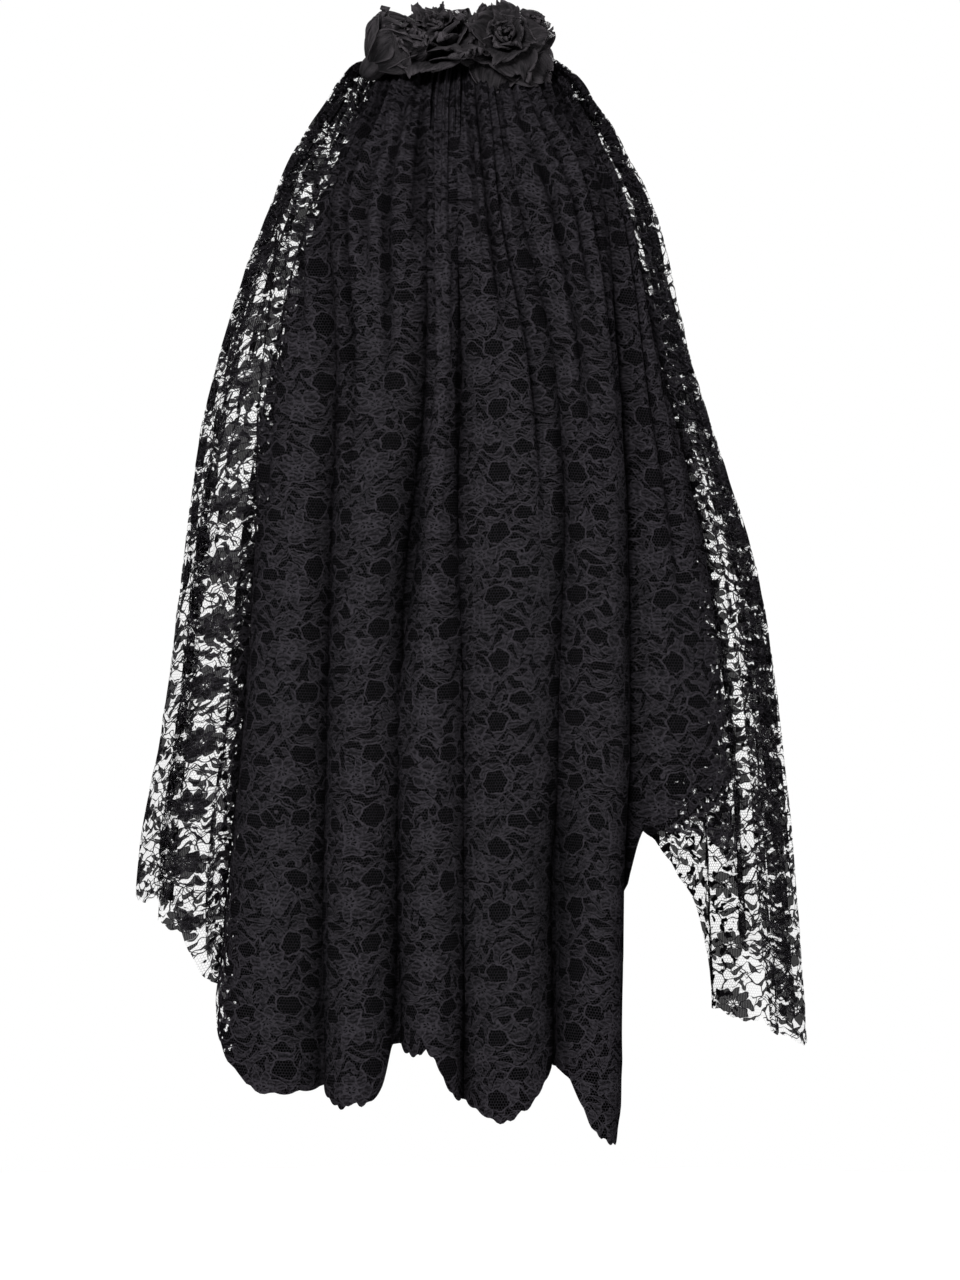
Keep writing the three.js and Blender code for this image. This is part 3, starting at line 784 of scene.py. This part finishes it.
# base of the flower, the way it opens, scale, turn in degrees, how far open, how cupped,
# how much farther the petals on the front's side hang over, and how much shorter those
# on the viewer's left are
ROSES = [
    ("rose_left", (-60, -24, 5), (0.7, -0.16, 0.7), 1.38, 50, 0.24, 14, 0.0, 0.24),
    ("rose_centre", (-16, -19, 12.5), (-0.06, -0.42, 0.91), 1.28, 64, 0.54, 14, 0.55, 0.0),
    ("rose_right", (28, -18, 18.5), (0.04, -0.9, 0.42), 1.14, 140, 1.0, 6, 0.0, 0.0),
]
# petals, length, half width, foot, lean at the foot, lean at the edge, wrap, lift, curl of the lip
PETAL_RINGS = [
    (2, 15, 6.0, 0.6, 3, 6, 3.0, 6.5, 8),
    (3, 17, 9.0, 1.2, 10, 18, 4.8, 5.5, 22),
    (4, 19.5, 11.0, 1.9, 22, 32, 8.0, 4.5, 42),
    (4, 22, 14.0, 2.4, 38, 50, 11, 3.2, 54),
    (4, 25, 16.5, 2.7, 55, 75, 15, 2.0, 60),
    (5, 29, 19.0, 3.0, 72, 102, 20, 0.8, 58),
]


def wiggle(x, seed, per):
    """Smooth noise along a line, from -1 to 1."""
    return value_noise(np.asarray(x, float) * per + 37.0, np.full_like(np.asarray(x, float), seed * 1.37), seed)


def petal(ring, bearing, seed, openness, cup, share):
    count, length, half, foot, lean0, lean1, wrap, lift, curl = ring
    rng = np.random.default_rng(seed)
    length = length * rng.uniform(0.9, 1.12) * share
    half = half * rng.uniform(0.9, 1.1)
    outer = lean0 / 68.0
    lean0 = lean0 * openness + cup * outer
    lean1 = lean1 * openness - 0.7 * cup * outer + rng.uniform(-6, 6)
    na, nl = 40, 26
    along = np.linspace(0, 1.25, 101)
    curl = curl * (0.12 + 0.88 * min(1.0, openness))
    lean = lean0 + (lean1 - lean0) * np.clip(along, 0, 1) ** 1.6 + curl * smooth(0.66, 1.05, along)
    lean = np.radians(lean)
    step = length * (along[1] - along[0])
    r_of = foot + np.concatenate([[0], np.cumsum(np.sin((lean[1:] + lean[:-1]) / 2) * step)])
    h_of = lift + np.concatenate([[0], np.cumsum(np.cos((lean[1:] + lean[:-1]) / 2) * step)])
    s = np.linspace(-1, 1, na + 1)[None, :]
    t = np.linspace(0, 1, nl + 1)[:, None]
    one = np.ones_like(t * s)
    S, T = s * one, t * one
    point = rng.uniform(0.14, 0.3)
    peak = rng.uniform(-0.4, 0.4)
    reach = 1 - 0.07 + point * np.exp(-(((S - peak) / 0.22) ** 2))
    reach = reach + 0.035 * wiggle(S, seed + 3, 3) + 0.03 * wiggle(S, seed + 5, 9) + 0.018 * wiggle(S, seed + 7, 26)
    te = T * (1 + (reach - 1) * T)
    r, h = np.interp(te, along, r_of), np.interp(te, along, h_of)
    wide = 0.3 + 0.7 * np.sin(np.minimum(1, T / 0.6) * math.pi / 2)
    tip = np.sqrt(np.clip(1 - (np.clip(T - 0.6, 0, 1) / 0.43) ** 2.4, 0.05, 1))
    fray = 1 + T * (0.03 * wiggle(T, seed + 9, 5) + 0.022 * wiggle(T, seed + 11, 17) * np.sign(S))
    hw = half * wide * tip * fray
    rho = wrap + r * 0.35
    psi = S * hw / rho
    edge = np.maximum(np.abs(S) ** 3, smooth(0.62, 1.0, T))
    ph = rng.uniform(0, 6.28, 6)
    amp = rng.uniform(0.7, 1.3) * (length / 25.0) ** 2
    wave = amp * T**1.5 * (1.3 * np.sin(3.6 * S + ph[0]) + 0.8 * np.sin(7.5 * S + ph[1] + 2 * T))
    ruff = min(1.0, (length / 22.0) ** 2) * edge * T * (1.1 * wiggle(S + 0.3 * T, seed + 13, 4.5) + 0.55 * wiggle(S - 0.2 * T, seed + 15, 11))
    crush = 1.0 * value_noise(S * 5 + seed, T * 5, seed + 17) + 0.48 * value_noise(S * 13 + seed, T * 11, seed + 19)
    side = rho * np.sin(psi) + rng.uniform(-2, 2) * T**2
    out = r - rho * (1 - np.cos(psi)) * 0.9
    grid = np.stack([out, side, h], -1)
    # waves stand along the cloth's own normal
    n = unit(np.cross(np.gradient(grid, axis=0), np.gradient(grid, axis=1)))
    grid = grid + n * (wave + ruff * 1.2 + crush * T)[..., None]
    c, sn = math.cos(bearing), math.sin(bearing)
    x, y = grid[..., 0].copy(), grid[..., 1].copy()
    grid[..., 0], grid[..., 1] = x * c - y * sn, x * sn + y * c
    return grid


def wall_of(grid, thick):
    """Closed wall round an open grid of points."""
    du = np.gradient(grid, axis=1)
    dv = np.gradient(grid, axis=0)
    n = unit(np.cross(dv, du))
    top, bottom = grid - n * thick / 2, grid + n * thick / 2
    rows, cols = grid.shape[:2]
    verts = np.concatenate([top.reshape(-1, 3), bottom.reshape(-1, 3)])
    idx = np.arange(rows * cols).reshape(rows, cols)
    q = np.stack([idx[:-1, :-1], idx[:-1, 1:], idx[1:, 1:], idx[1:, :-1]], -1).reshape(-1, 4)
    faces = [q[:, ::-1], q + rows * cols]
    uu, vv = np.meshgrid(np.linspace(0, 1, cols), np.linspace(0, 1, rows))
    uv = np.stack([uu, vv], -1).reshape(-1, 2)
    rim = (
        [(0, j) for j in range(cols - 1)]
        + [(i, cols - 1) for i in range(rows - 1)]
        + [(rows - 1, j) for j in range(cols - 1, 0, -1)]
        + [(i, 0) for i in range(rows - 1, 0, -1)]
    )
    a = np.array([idx[i, j] for i, j in rim])
    b = np.roll(a, -1)
    faces.append(np.stack([a, b, b + rows * cols, a + rows * cols], -1))
    return verts, np.concatenate(faces), np.concatenate([uv, uv])


def rose(name, at, face, size, turn, openness, cup, droop, short, seed):
    way = Vector(face).normalized()
    rot = np.array(Vector((0, 0, 1)).rotation_difference(way).to_matrix())
    parts, total = [], 0
    for n, ring in enumerate(PETAL_RINGS):
        for p in range(ring[0]):
            bearing = math.radians(turn + n * 37 + p * 360 / ring[0])
            out = rot @ np.array([math.cos(bearing), math.sin(bearing), 0])
            wide = openness + droop * max(0.0, -out[1]) ** 1.5
            share = 1 - short * max(0.0, -out[0])
            grid = petal(ring, bearing, seed * 100 + n * 10 + p, wide, cup, share)
            v, f, uv = wall_of(grid, 0.36)
            parts.append((v, f + total, uv))
            total += len(v)
    verts = np.concatenate([p[0] for p in parts])
    faces = np.concatenate([p[1] for p in parts])
    uvs = np.concatenate([p[2] for p in parts])
    # calyx: a turned knob that holds the petals' feet
    prof = [(0.05, -7.4), (2.4, -7.0), (4.4, -5.2), (5.9, -2.0), (6.2, 1.5), (5.2, 5.0), (3.6, 8.0)]
    m = 24
    cal = [
        [
            (
                (r + 0.35 * math.cos(5 * (2 * math.pi * j / m))) * math.cos(2 * math.pi * j / m),
                (r + 0.35 * math.cos(5 * (2 * math.pi * j / m))) * math.sin(2 * math.pi * j / m),
                z,
            )
            for j in range(m)
        ]
        for r, z in prof
    ]
    cal = np.array(cal)
    ci = np.arange(len(prof) * m).reshape(len(prof), m)
    cf = np.stack([ci[:-1], np.roll(ci, -1, 1)[:-1], np.roll(ci, -1, 1)[1:], ci[1:]], -1).reshape(-1, 4)
    faces = np.concatenate([faces, cf + len(verts)])
    verts = np.concatenate([verts, cal.reshape(-1, 3)])
    uvs = np.concatenate([uvs, np.stack([(ci % m) / m, (ci // m) / 7], -1).reshape(-1, 2)])
    verts = (verts * size) @ rot.T + np.array(at)
    lo, hi = verts.min(0), verts.max(0)
    print(name, "box mm", np.round(lo, 1), np.round(hi, 1))
    ob = mesh_object(name + "_petals", verts * MM, faces, uvs[faces.reshape(-1)])
    ob.data.materials.append(ROSE)
    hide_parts(name)
    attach(ob, "root")
    return ob


for i, row in enumerate(ROSES):
    rose(*row, i + 1)

# ---------------------------------------------------------------------------
# Floor, light and view
# ---------------------------------------------------------------------------
def stage_floor():
    g = Graph("floor")
    g.bsdf.inputs["Base Color"].default_value = (0.86, 0.86, 0.86, 1)
    g.bsdf.inputs["Roughness"].default_value = 0.9
    grain = g.noise(g.place(), 3.0, 1.0, "3D")
    g.put(g.bsdf.inputs["Base Color"], g.colour(Val(g, grain.outputs["Fac"]), (0.84, 0.84, 0.84), (0.88, 0.88, 0.88)))
    n = 96
    verts = [(0, 0, -0.98)] + [(2.2 * math.cos(2 * math.pi * k / n), 2.2 * math.sin(2 * math.pi * k / n), -0.98) for k in range(n)]
    me = bpy.data.meshes.new("floor")
    me.from_pydata(verts, [], [(0, 1 + k, 1 + (k + 1) % n) for k in range(n)])
    me.update()
    ob = bpy.data.objects.new("floor", me)
    bpy.context.scene.collection.objects.link(ob)
    me.materials.append(g.mat)
    return ob


stage_floor()


def area_light(name, at, aim, size, power):
    data = bpy.data.lights.new(name, "AREA")
    data.shape = "SQUARE"
    data.size = size
    data.energy = power
    ob = bpy.data.objects.new(name, data)
    ob.location = at
    ob.rotation_euler = (Vector(aim) - Vector(at)).to_track_quat("-Z", "Y").to_euler()
    bpy.context.scene.collection.objects.link(ob)
    return ob


area_light("key", (-0.8, -2.8, 1.2), (0, 0, -0.25), 1.0, 560)
area_light("back", (1.2, 2.9, 1.3), (0, 0, -0.3), 1.4, 420)
area_light("fill", (2.4, -2.0, 0.5), (0, 0, -0.3), 2.0, 110)

world = bpy.data.worlds.new("world")
bpy.context.scene.world = world
world.use_nodes = True
bg = world.node_tree.nodes["Background"]
bg.inputs["Color"].default_value = (1, 1, 1, 1)
bg.inputs["Strength"].default_value = 1.0
scene = bpy.context.scene
scene.view_settings.view_transform = "Standard"
scene.view_settings.look = "None"
scene.cycles.max_bounces = 5
scene.cycles.diffuse_bounces = 2
scene.cycles.glossy_bounces = 2
scene.cycles.transparent_max_bounces = 18
